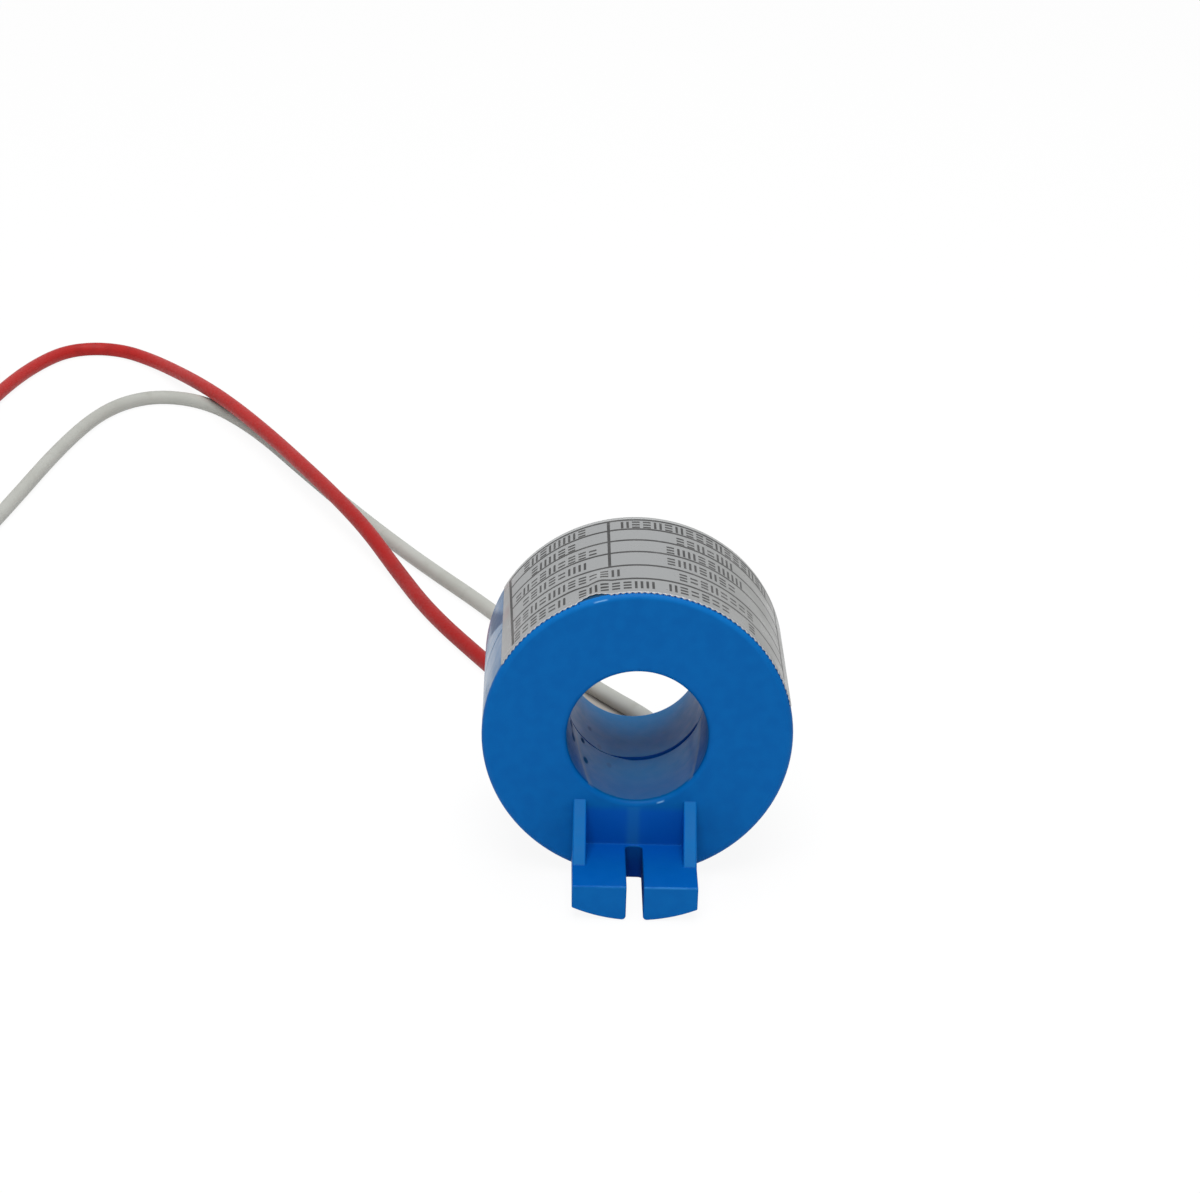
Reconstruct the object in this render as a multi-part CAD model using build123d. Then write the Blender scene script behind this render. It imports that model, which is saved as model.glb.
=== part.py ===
from build123d import *
import math
import os

# A window-type current transformer: a ring-shaped moulded case with a foot,
# a toroidal core and winding inside, and two flexible leads.
# The origin is the middle of the bore. The bore runs along Y, the front face
# with the foot faces -Y, and +Z is up. All sizes are in millimetres.

# Case
CASE_DIAMETER = 55.0
CASE_LENGTH = 37.0
RING_WIDTH = 15.0  # from the outside of the case in to the bore
OUTER_WALL = 2.0
END_WALL = 2.0
BORE_WALL = 1.6
FACE_EDGE_ROUND = 1.2
BORE_EDGE_ROUND = 1.0

# Joint between the two halves of the case
FRONT_HALF_LENGTH = 17.5
SEAM_GAP = 0.3
LAP_LENGTH = 2.0
LAP_CLEARANCE = 0.08

# Foot on the front half. Its curved sole carries on the outside of the case.
FOOT_WIDTH = 22.0
FOOT_DEPTH = 16.5
FOOT_THICKNESS = 6.6  # from the lowest line of the case up to the plate's top
GUSSET_THICKNESS = 2.4
GUSSET_HEIGHT = 8.7
GUSSET_REACH = 8.8
SLOT_WIDTH = 3.0
SLOT_END_ROUND = 1.0
SLOT_END_GAP = 0.5  # from the face to the slot's closed end
SOLE_CORNER_ROUND = 0.7  # one worn corner beside the slot
FOOT_EDGE_ROUND = 0.3

# Coil
SPLICE_SPACE = 8.7  # behind the coil, for its joints to the leads
COIL_CLEARANCE = 0.3  # around the wrapped coil inside the case
WRAP_THICKNESS = 0.25
WIRE_DIAMETER = 1.2
WIRE_CLEARANCE = 0.05
TURNS = 30
CORE_CASE_WALL = 0.8
CORE_CLEARANCE = 0.1
RIB_COUNT = 6
RIB_THICKNESS = 1.4

# Leads and their joints to the winding
LEAD_DIAMETER = 3.3
CONDUCTOR_DIAMETER = 1.6
LEAD_SPACING = 8.0
LEAD_HOLE_CLEARANCE = 0.15
TAIL_LENGTH = 2.6
JOINT_LENGTH = 4.0
JOINT_DIAMETER = 2.4
SLEEVE_WALL = 0.35
SLEEVE_END = 0.3
SLEEVE_OVER_LEAD = 2.6
STRIPPED_LENGTH = 7.0
ARC_SHARE = 0.45  # how much of the shorter run beside a bend its arc uses
MIN_CORD_BEND = 3.0  # in lead diameters, for a soft lead of fine strands

# Label around the top of the case
LABEL_THICKNESS = 0.2
LABEL_CLEARANCE = 0.03
LABEL_LEFT_ANGLE = -61.5  # from straight up, positive towards +X
LABEL_RIGHT_ANGLE = 76.5
LABEL_FRONT_EDGE = 0.6  # from the front face to the label
LABEL_REAR_EDGE = 0.9

# Places worked out from the sizes above
FRONT = -CASE_LENGTH / 2
REAR = CASE_LENGTH / 2
SEAM = FRONT + FRONT_HALF_LENGTH
CASE_RADIUS = CASE_DIAMETER / 2
BORE_RADIUS = CASE_RADIUS - RING_WIDTH
CAVITY_OUTER = CASE_RADIUS - OUTER_WALL
CAVITY_INNER = BORE_RADIUS + BORE_WALL
FOOT_TOP = FOOT_THICKNESS - CASE_RADIUS
COIL_FRONT = FRONT + END_WALL + COIL_CLEARANCE
COIL_REAR = REAR - END_WALL - SPLICE_SPACE
COIL_INNER = CAVITY_INNER + COIL_CLEARANCE
COIL_OUTER = CAVITY_OUTER - COIL_CLEARANCE
WIRE_LAYER = WRAP_THICKNESS + WIRE_CLEARANCE + WIRE_DIAMETER
CORE_CASE_INSET = WIRE_LAYER + WIRE_CLEARANCE
WIRE_INSET = WRAP_THICKNESS + WIRE_CLEARANCE + WIRE_DIAMETER / 2
CORE_INSET = CORE_CASE_INSET + CORE_CASE_WALL + CORE_CLEARANCE
JOINT_FRONT = COIL_REAR + TAIL_LENGTH - JOINT_LENGTH / 2
LEAD_START = JOINT_FRONT + JOINT_LENGTH
LEAD_DROP = (CASE_RADIUS + BORE_RADIUS) / 2
LEAD_ANGLE = math.degrees(math.atan2(LEAD_SPACING / 2, LEAD_DROP))
SLOT_CORNER = -math.sqrt(CASE_RADIUS**2 - (SLOT_WIDTH / 2) ** 2)
ON_SURFACE = -CASE_RADIUS + LEAD_DIAMETER / 2

# Routes of the leads, as (x, y, height above lying flat). Both leave the rear
# face, sink to the surface and sweep back and to the left. The red one climbs
# onto the white one, crosses it and comes down past the bend.
EXIT_HEIGHT = -LEAD_DROP - ON_SURFACE
OVER = 3.8
LEAD_X = LEAD_SPACING / 2
RED_ROUTE = [
    (-LEAD_X, LEAD_START, EXIT_HEIGHT),
    (-LEAD_X, 25, EXIT_HEIGHT),
    (-8, 35.5, 1),
    (-16.5, 48.5, 0),
    (-28.5, 71, 0),
    (-40.5, 95, 0),
    (-48.5, 117.5, 0.2),
    (-55.5, 134.5, OVER - 1),
    (-63.5, 152, OVER),
    (-73.5, 174, OVER),
    (-83.5, 195, OVER),
    (-93.5, 214, OVER),
    (-102, 230, 3),
    (-111, 247.5, 0.5),
    (-118, 258.5, 0),
    (-124.5, 263, 0),
    (-132.5, 263.5, 0),
    (-139.5, 260.5, 0),
    (-144, 254, 0),
    (-148.5, 241, 0),
    (-152.5, 222, 0),
    (-156.5, 197.5, 0),
    (-159, 172, 0),
]
WHITE_ROUTE = [
    (LEAD_X, LEAD_START, EXIT_HEIGHT),
    (LEAD_X, 25.5, EXIT_HEIGHT),
    (7, 36, 1),
    (4.5, 46, 0),
    (-4, 58, 0),
    (-14, 76.5, 0),
    (-28, 99.5, 0),
    (-44, 125, 0),
    (-59, 151.5, 0),
    (-72, 177, 0),
    (-83.5, 200.5, 0),
    (-92, 214, 0),
    (-98, 221.5, 0),
    (-104.5, 226, 0),
    (-112, 226.5, 0),
    (-118.5, 223.5, 0),
    (-124, 217.5, 0),
    (-128, 204.5, 0),
    (-132.5, 183, 0),
    (-137, 155, 0),
    (-142, 126, 0),
    (-145.5, 98.5, 0),
]


def turned(points, rounds=()):
    """A ring turned around the bore's axis from (radius, y) points, with (radius, y, size) rounds."""
    outline = make_face(Polyline(*points, close=True))
    for radius, y, size in rounds:
        corner = outline.vertices().sort_by_distance((radius, y, 0))[0]
        outline = fillet(corner, size)
    return revolve(outline, Axis.Y)


def ring(inner, outer, front, rear):
    """A plain ring with a rectangular section."""
    return turned([(inner, front), (outer, front), (outer, rear), (inner, rear)])


def rod(radius, x, z, front, rear):
    """A round rod along Y."""
    middle = Location((x, (front + rear) / 2, z), (90, 0, 0))
    return middle * Cylinder(radius, rear - front)


def case_half(face, wall_end, lap_outer, lap_inner, lap_end, inward):
    """One half of the case: an end wall, an outer wall and half the bore's tube.

    The walls end at wall_end, and are stepped there to lap with the other half as far as lap_end.
    """
    end_wall = face + inward * END_WALL
    points = [
        (BORE_RADIUS, face),
        (CASE_RADIUS, face),
        (CASE_RADIUS, wall_end),
        (lap_outer, wall_end),
        (lap_outer, lap_end),
        (CAVITY_OUTER, lap_end),
        (CAVITY_OUTER, end_wall),
        (CAVITY_INNER, end_wall),
        (CAVITY_INNER, lap_end),
        (lap_inner, lap_end),
        (lap_inner, wall_end),
        (BORE_RADIUS, wall_end),
    ]
    rounds = [
        (CASE_RADIUS, face, FACE_EDGE_ROUND),
        (BORE_RADIUS, face, BORE_EDGE_ROUND),
    ]
    return turned(points, rounds)


def foot():
    """The slotted plate in front of the face, with its two gussets and all its edges rounded."""
    front = FRONT - FOOT_DEPTH
    sole = Circle(CASE_RADIUS)
    below = Rectangle(
        FOOT_WIDTH, CASE_RADIUS, align=(Align.CENTER, Align.MAX)
    ).moved(Location((0, FOOT_TOP, 0)))
    plate = extrude(Plane.XZ.offset(-FRONT) * (sole & below), FOOT_DEPTH)

    slot = Pos(0, FRONT - SLOT_END_GAP, 0) * Rectangle(
        SLOT_WIDTH, 2 * FOOT_DEPTH, align=(Align.CENTER, Align.MAX)
    )
    slot = fillet(slot.vertices().group_by(Axis.Y)[-1], SLOT_END_ROUND)
    plate -= Pos(0, 0, -CASE_DIAMETER) * extrude(slot, CASE_DIAMETER)
    worn = plate.edges().filter_by(Axis.Y).sort_by_distance(
        (-SLOT_WIDTH / 2, front + FOOT_DEPTH / 2, SLOT_CORNER)
    )[0]
    plate = fillet(worn, SOLE_CORNER_ROUND)

    profile = make_face(
        Polyline(
            (FRONT, FOOT_TOP),
            (FRONT, FOOT_TOP + GUSSET_HEIGHT),
            (FRONT - GUSSET_REACH, FOOT_TOP),
            close=True,
        )
    )
    for side in (-1, 1):
        outside = side * FOOT_WIDTH / 2
        gusset = extrude(Plane.YZ.offset(outside) * profile, -side * GUSSET_THICKNESS)
        plate += gusset
    free_edges = [e for e in plate.edges() if e.center().Y < FRONT - FOOT_EDGE_ROUND / 2]
    return fillet(free_edges, FOOT_EDGE_ROUND)


def front_shell():
    lap_end = SEAM + LAP_LENGTH
    ring_half = case_half(
        FRONT,
        SEAM - SEAM_GAP / 2,
        CASE_RADIUS - OUTER_WALL / 2,
        BORE_RADIUS + BORE_WALL / 2,
        lap_end,
        1,
    )
    return ring_half + foot()


def rear_shell():
    """The rear half, with ribs that hold the coil forward and holes for the leads."""
    shell = case_half(
        REAR,
        SEAM + SEAM_GAP / 2,
        CASE_RADIUS - OUTER_WALL / 2 + LAP_CLEARANCE,
        BORE_RADIUS + BORE_WALL / 2 - LAP_CLEARANCE,
        SEAM + LAP_LENGTH + LAP_CLEARANCE,
        -1,
    )
    rib_length = REAR - END_WALL - COIL_REAR - COIL_CLEARANCE
    rib_span = CAVITY_OUTER - CAVITY_INNER
    rib = Pos(
        (CAVITY_OUTER + CAVITY_INNER) / 2, REAR - END_WALL - rib_length / 2, 0
    ) * Box(rib_span + min(OUTER_WALL, BORE_WALL), rib_length, RIB_THICKNESS)
    for i in range(RIB_COUNT):
        shell += Rot(0, i * 360 / RIB_COUNT, 0) * rib
    hole_radius = LEAD_DIAMETER / 2 + LEAD_HOLE_CLEARANCE
    for side in (-1, 1):
        shell -= rod(hole_radius, side * LEAD_X, -LEAD_DROP, REAR - 2 * END_WALL, REAR + END_WALL)
    return shell


def core():
    return ring(
        COIL_INNER + CORE_INSET,
        COIL_OUTER - CORE_INSET,
        COIL_FRONT + CORE_INSET,
        COIL_REAR - CORE_INSET,
    )


def core_case(face, inward):
    """Half of the insulating case around the core, a ring with a U-shaped section."""
    middle = (COIL_FRONT + COIL_REAR) / 2
    outside = face + inward * CORE_CASE_INSET
    floor = outside + inward * CORE_CASE_WALL
    inner = COIL_INNER + CORE_CASE_INSET
    outer = COIL_OUTER - CORE_CASE_INSET
    return turned(
        [
            (inner, outside),
            (outer, outside),
            (outer, middle),
            (outer - CORE_CASE_WALL, middle),
            (outer - CORE_CASE_WALL, floor),
            (inner + CORE_CASE_WALL, floor),
            (inner + CORE_CASE_WALL, middle),
            (inner, middle),
        ]
    )


def around(radius, angle, y):
    """A point at that radius, at an angle from straight up towards +X."""
    a = math.radians(angle)
    return (radius * math.sin(a), y, radius * math.cos(a))


def secondary_winding():
    """One wire wound through the core case, from one tail at the rear round to the other."""
    inner, outer = COIL_INNER + WIRE_INSET, COIL_OUTER - WIRE_INSET
    front, rear = COIL_FRONT + WIRE_INSET, COIL_REAR - WIRE_INSET
    start = 180 + LEAD_ANGLE
    step = (360 - 2 * LEAD_ANGLE) / TURNS
    tail_radius = math.hypot(LEAD_X, LEAD_DROP)
    tail_end = COIL_REAR + TAIL_LENGTH
    points = [around(tail_radius, start, tail_end), around(tail_radius, start, rear)]
    for turn in range(TURNS):
        angle = start + turn * step
        half_way = angle + step / 2
        points += [
            around(inner, angle, rear),
            around(inner, angle, front),
            around(outer, half_way, front),
            around(outer, half_way, rear),
        ]
    last = start + TURNS * step
    points += [around(tail_radius, last, rear), around(tail_radius, last, tail_end)]
    path = Polyline(*points)
    section = Plane(path @ 0, z_dir=path % 0) * Circle(WIRE_DIAMETER / 2)
    return sweep(section, path, transition=Transition.RIGHT)


def winding_wrap():
    """Insulating film around the whole coil, with a hole for each tail of the winding."""
    wrap = ring(COIL_INNER, COIL_OUTER, COIL_FRONT, COIL_REAR)
    wrap -= ring(
        COIL_INNER + WRAP_THICKNESS,
        COIL_OUTER - WRAP_THICKNESS,
        COIL_FRONT + WRAP_THICKNESS,
        COIL_REAR - WRAP_THICKNESS,
    )
    hole_radius = WIRE_DIAMETER / 2 + WIRE_CLEARANCE
    for side in (-1, 1):
        wrap -= rod(
            hole_radius,
            side * LEAD_X,
            -LEAD_DROP,
            COIL_REAR - 2 * WRAP_THICKNESS,
            COIL_REAR + WRAP_THICKNESS,
        )
    return wrap


def lead_joint(x):
    """Solder around the winding's tail and the lead's stripped end."""
    middle = JOINT_FRONT + JOINT_LENGTH / 2
    joint = rod(JOINT_DIAMETER / 2, x, -LEAD_DROP, JOINT_FRONT, LEAD_START)
    joint -= rod(WIRE_DIAMETER / 2, x, -LEAD_DROP, JOINT_FRONT, middle)
    return joint - rod(CONDUCTOR_DIAMETER / 2, x, -LEAD_DROP, middle, LEAD_START)


def splice_sleeve(x):
    """Shrunk sleeve over the joint and the end of the lead."""
    over_joint, over_lead = JOINT_DIAMETER / 2, LEAD_DIAMETER / 2
    front = JOINT_FRONT - SLEEVE_END
    rear = LEAD_START + SLEEVE_OVER_LEAD
    cone = LEAD_START - (over_lead - over_joint)
    outline = [
        (over_joint, front),
        (over_joint, cone),
        (over_lead, LEAD_START),
        (over_lead, rear),
        (over_lead + SLEEVE_WALL, rear),
        (over_lead + SLEEVE_WALL, LEAD_START),
        (over_joint + SLEEVE_WALL, cone),
        (over_joint + SLEEVE_WALL, front),
    ]
    return Pos(x, 0, -LEAD_DROP) * turned(outline)


def route_points(route):
    return [Vector(x, y, ON_SURFACE + height) for x, y, height in route]


def lead(name, route):
    """A lead as a round tube along straight runs and the largest arcs between them."""
    points = route_points(route)
    runs = [b - a for a, b in zip(points, points[1:])]
    radii = []
    for before, after in zip(runs, runs[1:]):
        half_turn = math.radians(before.get_angle(after) / 2)
        radii.append(ARC_SHARE * min(before.length, after.length) / math.tan(half_turn))
    path = FilletPolyline(*points, radius=radii)
    tube = sweep(Plane(path @ 0, z_dir=path % 0) * Circle(LEAD_DIAMETER / 2), path)
    section_area = math.pi * LEAD_DIAMETER**2 / 4
    tightest = min(radii) / LEAD_DIAMETER
    print(name, "bend radii", [round(r, 1) for r in radii])
    print(
        name,
        f"length {path.length:.1f}, tightest bend {tightest:.1f} diameters",
        f"(at least {MIN_CORD_BEND}), volume ratio {tube.volume / section_area / path.length:.5f}",
    )
    return tube


def lead_tip(route):
    """The stripped and tinned end of a lead, in line with its last run."""
    before, end = route_points(route)[-2:]
    direction = (end - before).normalized()
    section = Plane(end, z_dir=direction) * Circle(CONDUCTOR_DIAMETER / 2)
    return extrude(section, STRIPPED_LENGTH)


def lead_root(x):
    """The stripped end of a lead inside its joint."""
    middle = JOINT_FRONT + JOINT_LENGTH / 2
    return rod(CONDUCTOR_DIAMETER / 2, x, -LEAD_DROP, middle, LEAD_START)


def label():
    """A thin sheet bent round the top of the case."""
    inner = CASE_RADIUS + LABEL_CLEARANCE
    strip = make_face(
        Polyline(
            (inner, FRONT + LABEL_FRONT_EDGE),
            (inner + LABEL_THICKNESS, FRONT + LABEL_FRONT_EDGE),
            (inner + LABEL_THICKNESS, REAR - LABEL_REAR_EDGE),
            (inner, REAR - LABEL_REAR_EDGE),
            close=True,
        )
    )
    sector = revolve(strip, Axis.Y, LABEL_RIGHT_ANGLE - LABEL_LEFT_ANGLE)
    return Rot(0, LABEL_LEFT_ANGLE - 90, 0) * sector


def nodes():
    return {
        "front_shell": front_shell(),
        "rear_shell": rear_shell(),
        "core": core(),
        "core_case_front": core_case(COIL_FRONT, 1),
        "core_case_rear": core_case(COIL_REAR, -1),
        "secondary_winding": secondary_winding(),
        "winding_wrap": winding_wrap(),
        "red_joint": lead_joint(-LEAD_X),
        "white_joint": lead_joint(LEAD_X),
        "red_splice_sleeve": splice_sleeve(-LEAD_X),
        "white_splice_sleeve": splice_sleeve(LEAD_X),
        "red_lead_root": lead_root(-LEAD_X),
        "white_lead_root": lead_root(LEAD_X),
        "red_lead": lead("red_lead", RED_ROUTE),
        "white_lead": lead("white_lead", WHITE_ROUTE),
        "red_lead_tip": lead_tip(RED_ROUTE),
        "white_lead_tip": lead_tip(WHITE_ROUTE),
        "label": label(),
    }


os.makedirs("parts", exist_ok=True)
for node_name, shape in nodes().items():
    export_step(shape, f"parts/{node_name}.step")
    print(node_name, len(shape.solids()), "solid", round(shape.volume, 2), "mm3")
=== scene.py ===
# %% [markdown]
# # A window-type current transformer
#
# A power conductor passes through the ring, and the coil inside the blue case
# gives a small copy of its current on the red and white leads.
#
# The case, the foot, the coil and the leads come from the CAD model as fixed
# solids. This script adds what CAD leaves out: the camera and the light, the
# leads' smooth lines, the printed label and the finish of every material.

# %% Load the CAD model
from math import atan2, cos, degrees, radians, sin, sqrt, tau

import bmesh
import bpy
from mathutils import Matrix, Vector


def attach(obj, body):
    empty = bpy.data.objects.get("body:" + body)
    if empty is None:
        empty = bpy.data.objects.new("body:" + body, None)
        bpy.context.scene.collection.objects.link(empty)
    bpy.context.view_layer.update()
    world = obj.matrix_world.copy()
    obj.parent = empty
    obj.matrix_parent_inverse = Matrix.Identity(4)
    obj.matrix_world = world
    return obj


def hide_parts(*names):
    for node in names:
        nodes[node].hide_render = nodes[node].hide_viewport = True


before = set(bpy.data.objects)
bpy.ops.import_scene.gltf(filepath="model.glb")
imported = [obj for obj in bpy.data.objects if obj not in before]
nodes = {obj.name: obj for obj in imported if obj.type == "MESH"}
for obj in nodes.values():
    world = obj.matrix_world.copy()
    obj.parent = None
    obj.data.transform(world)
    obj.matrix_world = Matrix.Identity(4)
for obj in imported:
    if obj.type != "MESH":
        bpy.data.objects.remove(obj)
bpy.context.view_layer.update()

MM = 0.001

# %% [markdown]
# ## The camera
#
# The photograph shows two circles of known size, the outside of the case and
# its bore. Their ellipses, and the foot's straight edges, fix where the camera
# stood: about 600 mm away, 22.8 degrees above the bore, and rolled by almost
# two degrees. The camera's axes are built from those three angles, because a
# matrix made from its own right, up and back can't be turned about the wrong
# axis.

# %% Place the camera
EYE = Vector((-19.379, -552.679, 251.038)) * MM
AZIMUTH, ELEVATION, ROLL = radians(-1.2847), radians(22.7624), radians(1.8351)
LENS, SENSOR = 100.532, 36.0

back = Vector((sin(AZIMUTH) * cos(ELEVATION), -cos(AZIMUTH) * cos(ELEVATION), sin(ELEVATION)))
level = Vector((0, 0, 1)).cross(back).normalized()
upright = back.cross(level)
right = cos(ROLL) * level + sin(ROLL) * upright
up = cos(ROLL) * upright - sin(ROLL) * level

lens = bpy.data.cameras.new("camera")
lens.lens, lens.sensor_width = LENS, SENSOR
camera = bpy.data.objects.new("camera", lens)
bpy.context.scene.collection.objects.link(camera)
camera.matrix_world = Matrix.Translation(EYE) @ Matrix((right, up, back)).transposed().to_4x4()
bpy.context.scene.camera = camera
print("camera distance", round(EYE.length / MM), "mm")

# %% [markdown]
# ## The two leads
#
# Each lead is 3.3 mm across and leaves the rear of the case straight back. It
# sinks to the table and wanders off to the left in one loose bend. The red one
# climbs on the white one, rides along it for a hand's width and comes down.
#
# A cord is a fixed length of something flexible, so its line has no straight
# runs joined by arcs. A NURBS curve that has the route's points as its control
# points is smooth everywhere and cuts gently inside each corner.

# %% Routes of the leads
CASE_RADIUS, BORE_RADIUS = 27.5, 12.5
LEAD_DIAMETER = 3.3
LEAD_START = 12.4
LEAD_X = 4.0
LEAD_DROP = (CASE_RADIUS + BORE_RADIUS) / 2
ON_SURFACE = -CASE_RADIUS + LEAD_DIAMETER / 2
EXIT_HEIGHT = -LEAD_DROP - ON_SURFACE
ON_TOP = 3.8

# Each point is x, y and the height above a lead that lies on the table, in mm.
RED_ROUTE = [
    (-LEAD_X, LEAD_START, EXIT_HEIGHT), (-LEAD_X, 25, EXIT_HEIGHT), (-8, 35.5, 1),
    (-16.5, 48.5, 0), (-28.4, 71.3, 0), (-40.3, 95.6, 0), (-48.3, 117.9, 0.2),
    (-55.5, 134.5, ON_TOP - 1), (-63.5, 152, ON_TOP), (-73.5, 174, ON_TOP), (-83.5, 195, ON_TOP),
    (-93.5, 214, ON_TOP), (-102.1, 229.4, 3), (-111, 246.4, 0.8), (-117.8, 256, 0),
    (-124.6, 261.7, 0), (-132, 263.3, 0), (-138.8, 260.4, 0), (-143.6, 252.6, 0),
    (-148.2, 240, 0), (-152.3, 222, 0), (-156.5, 197.5, 0), (-159, 172, 0),
]
WHITE_ROUTE = [
    (LEAD_X, LEAD_START, EXIT_HEIGHT), (LEAD_X, 25.5, EXIT_HEIGHT), (6.5, 35.5, 1),
    (5.4, 44.3, 0), (-6, 59.2, 0), (-15.7, 75.6, 0), (-28.1, 99, 0), (-44.1, 124.6, 0),
    (-59, 151.5, 0), (-72, 177, 0), (-83.5, 200.5, 0), (-91.6, 213.6, 0), (-97.6, 221.4, 0),
    (-104.5, 226.4, 0), (-112.1, 227.6, 0), (-118.5, 223.9, 0), (-123.6, 216.2, 0),
    (-127.8, 203.8, 0), (-132.3, 182.7, 0), (-136.8, 154.7, 0), (-142, 126, 0),
    (-145.5, 98.5, 0),
]
LEADS = {"red": RED_ROUTE, "white": WHITE_ROUTE}


def in_metres(route):
    return [Vector((x, y, ON_SURFACE + height)) * MM for x, y, height in route]


print("route points", {colour: len(route) for colour, route in LEADS.items()})

# %% Draw a lead as a NURBS curve
def lead_curve(name, route, diameter):
    points = in_metres(route)
    curve = bpy.data.curves.new(name, "CURVE")
    curve.dimensions = "3D"
    spline = curve.splines.new("NURBS")
    spline.points.add(len(points) - 1)
    for knot, point in zip(spline.points, points):
        knot.co = (*point, 1)
    spline.order_u = 3
    spline.use_endpoint_u = True
    spline.resolution_u = 14
    curve.bevel_depth = diameter / 2 * MM
    curve.bevel_resolution = 6
    curve.use_fill_caps = True
    piece = bpy.data.objects.new(name, curve)
    bpy.context.scene.collection.objects.link(piece)
    return piece


sleeves = {c: lead_curve(c + "_insulation", route, LEAD_DIAMETER) for c, route in LEADS.items()}
print("leads", [piece.name for piece in sleeves.values()])

# %% [markdown]
# ## Stripped ends
#
# The far ends are bare: the insulation is cut back 7 mm and the fine copper
# strands under it are twisted and dipped in tin. Nineteen strands fill a round
# bundle, one in the middle, six around it and twelve around those.
#
# A strand is a small circle that spin carries round the bundle's middle while
# it also steps forward, which is how a screw thread is made.

# %% Twist the strands of one end
CONDUCTOR_DIAMETER = 1.6
STRIPPED_LENGTH = 7.0
STRAND_RINGS = ((0, 1), (1, 6), (2, 12))
STRANDS_ACROSS = 5
STRAND_TWIST = radians(150)
STRAND_STEPS = 18
STRAND_SIDES = 8


def add_strand(bm, ring, turn, radius):
    made = bmesh.ops.create_circle(bm, cap_ends=True, segments=STRAND_SIDES, radius=radius)
    bmesh.ops.translate(bm, verts=made["verts"], vec=(2 * radius * ring, 0, 0))
    round_middle = Matrix.Rotation(turn, 3, "Z")
    bmesh.ops.rotate(bm, verts=made["verts"], cent=(0, 0, 0), matrix=round_middle)
    faces = list({f for v in made["verts"] for f in v.link_faces})
    forward = (0, 0, STRIPPED_LENGTH * MM / STRAND_STEPS)
    bmesh.ops.spin(
        bm, geom=made["verts"] + faces, cent=(0, 0, 0), axis=(0, 0, 1), dvec=forward,
        angle=STRAND_TWIST, steps=STRAND_STEPS,
    )


def new_piece(name, bm):
    mesh = bpy.data.meshes.new(name)
    bm.to_mesh(mesh)
    bm.free()
    piece = bpy.data.objects.new(name, mesh)
    bpy.context.scene.collection.objects.link(piece)
    return piece


def bare_end(name, route):
    radius = CONDUCTOR_DIAMETER / 2 * MM / STRANDS_ACROSS
    bm = bmesh.new()
    for ring, count in STRAND_RINGS:
        for i in range(count):
            add_strand(bm, ring, tau * i / count, radius)
    bmesh.ops.recalc_face_normals(bm, faces=bm.faces)
    before, end = in_metres(route)[-2:]
    turn = (end - before).to_track_quat("Z", "Y").to_matrix().to_4x4()
    bmesh.ops.transform(bm, verts=bm.verts, matrix=Matrix.Translation(end) @ turn)
    for face in bm.faces:
        face.smooth = len(face.verts) == 4
    return new_piece(name, bm)


bundles = {c: bare_end(c + "_strands", route) for c, route in LEADS.items()}
print("strand faces", {c: len(o.data.polygons) for c, o in bundles.items()})

# %% [markdown]
# ## The floor and the light
#
# The part lies on a white table. A plain pale floor takes the shadow. What the
# camera sees of it is mostly a plain white, mixed in with Light Path, so the
# background is white without any more light on the part. Behind the ring,
# between the case and the white lead's first bend, the table is darker in the
# photograph than a shadow makes it, so a soft-edged patch darkens it there.

# %% Make the floor
FLOOR_GAP = 0.02
FLOOR_HALF = 4

bm = bmesh.new()
bmesh.ops.create_grid(bm, x_segments=1, y_segments=1, size=FLOOR_HALF)
bmesh.ops.translate(bm, verts=bm.verts, vec=(0, 0, (-CASE_RADIUS - FLOOR_GAP) * MM))
floor = new_piece("floor", bm)
print("floor", 2 * FLOOR_HALF, "m across,", FLOOR_GAP, "mm under the case")

# %% [markdown]
# ## A short way to write shader maths
#
# A finish is a small sum of patterns. `Signal` wraps a socket, so `1 - mask`
# adds a Math node, `a | b` keeps the larger and `a & b` the smaller of two
# masks. `Finish` is one material, with one method that adds any other node.

# %% Write shader maths as expressions
NAMES = {
    "__add__": "ADD", "__sub__": "SUBTRACT", "__mul__": "MULTIPLY", "__truediv__": "DIVIDE",
    "__lt__": "LESS_THAN", "__gt__": "GREATER_THAN", "__mod__": "MODULO", "__or__": "MAXIMUM",
    "__and__": "MINIMUM",
}


class Signal:
    """A socket that gives a value, so that signal + 1 or 1 - signal adds a Math node."""

    def __init__(self, finish, socket):
        self.finish, self.socket = finish, socket

    def math(self, operation, *inputs):
        return self.finish.node("Math", {"operation": operation}, dict(enumerate(inputs)))

    def of(self, operation, *others):
        return self.math(operation, self, *others)

    def __abs__(self):
        return self.of("ABSOLUTE")

    def __radd__(self, other):
        return self.math("ADD", other, self)

    def __rsub__(self, other):
        return self.math("SUBTRACT", other, self)

    def __rmul__(self, other):
        return self.math("MULTIPLY", other, self)

    def __rtruediv__(self, other):
        return self.math("DIVIDE", other, self)


def operator(operation):
    return lambda self, other: self.math(operation, self, other)


for method, operation in NAMES.items():
    setattr(Signal, method, operator(operation))
print("operators", [operation.lower() for operation in NAMES.values()])

# %% Give colours as a screen shows them
def srgb(red, green, blue):
    """A colour given as 0 to 255 on a screen, as the linear light that shaders use."""
    parts = [c / 255 for c in (red, green, blue)]
    return (*(c / 12.92 if c <= 0.04045 else ((c + 0.055) / 1.055) ** 2.4 for c in parts), 1)


print("middle grey", round(srgb(128, 128, 128)[0], 3))

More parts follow.
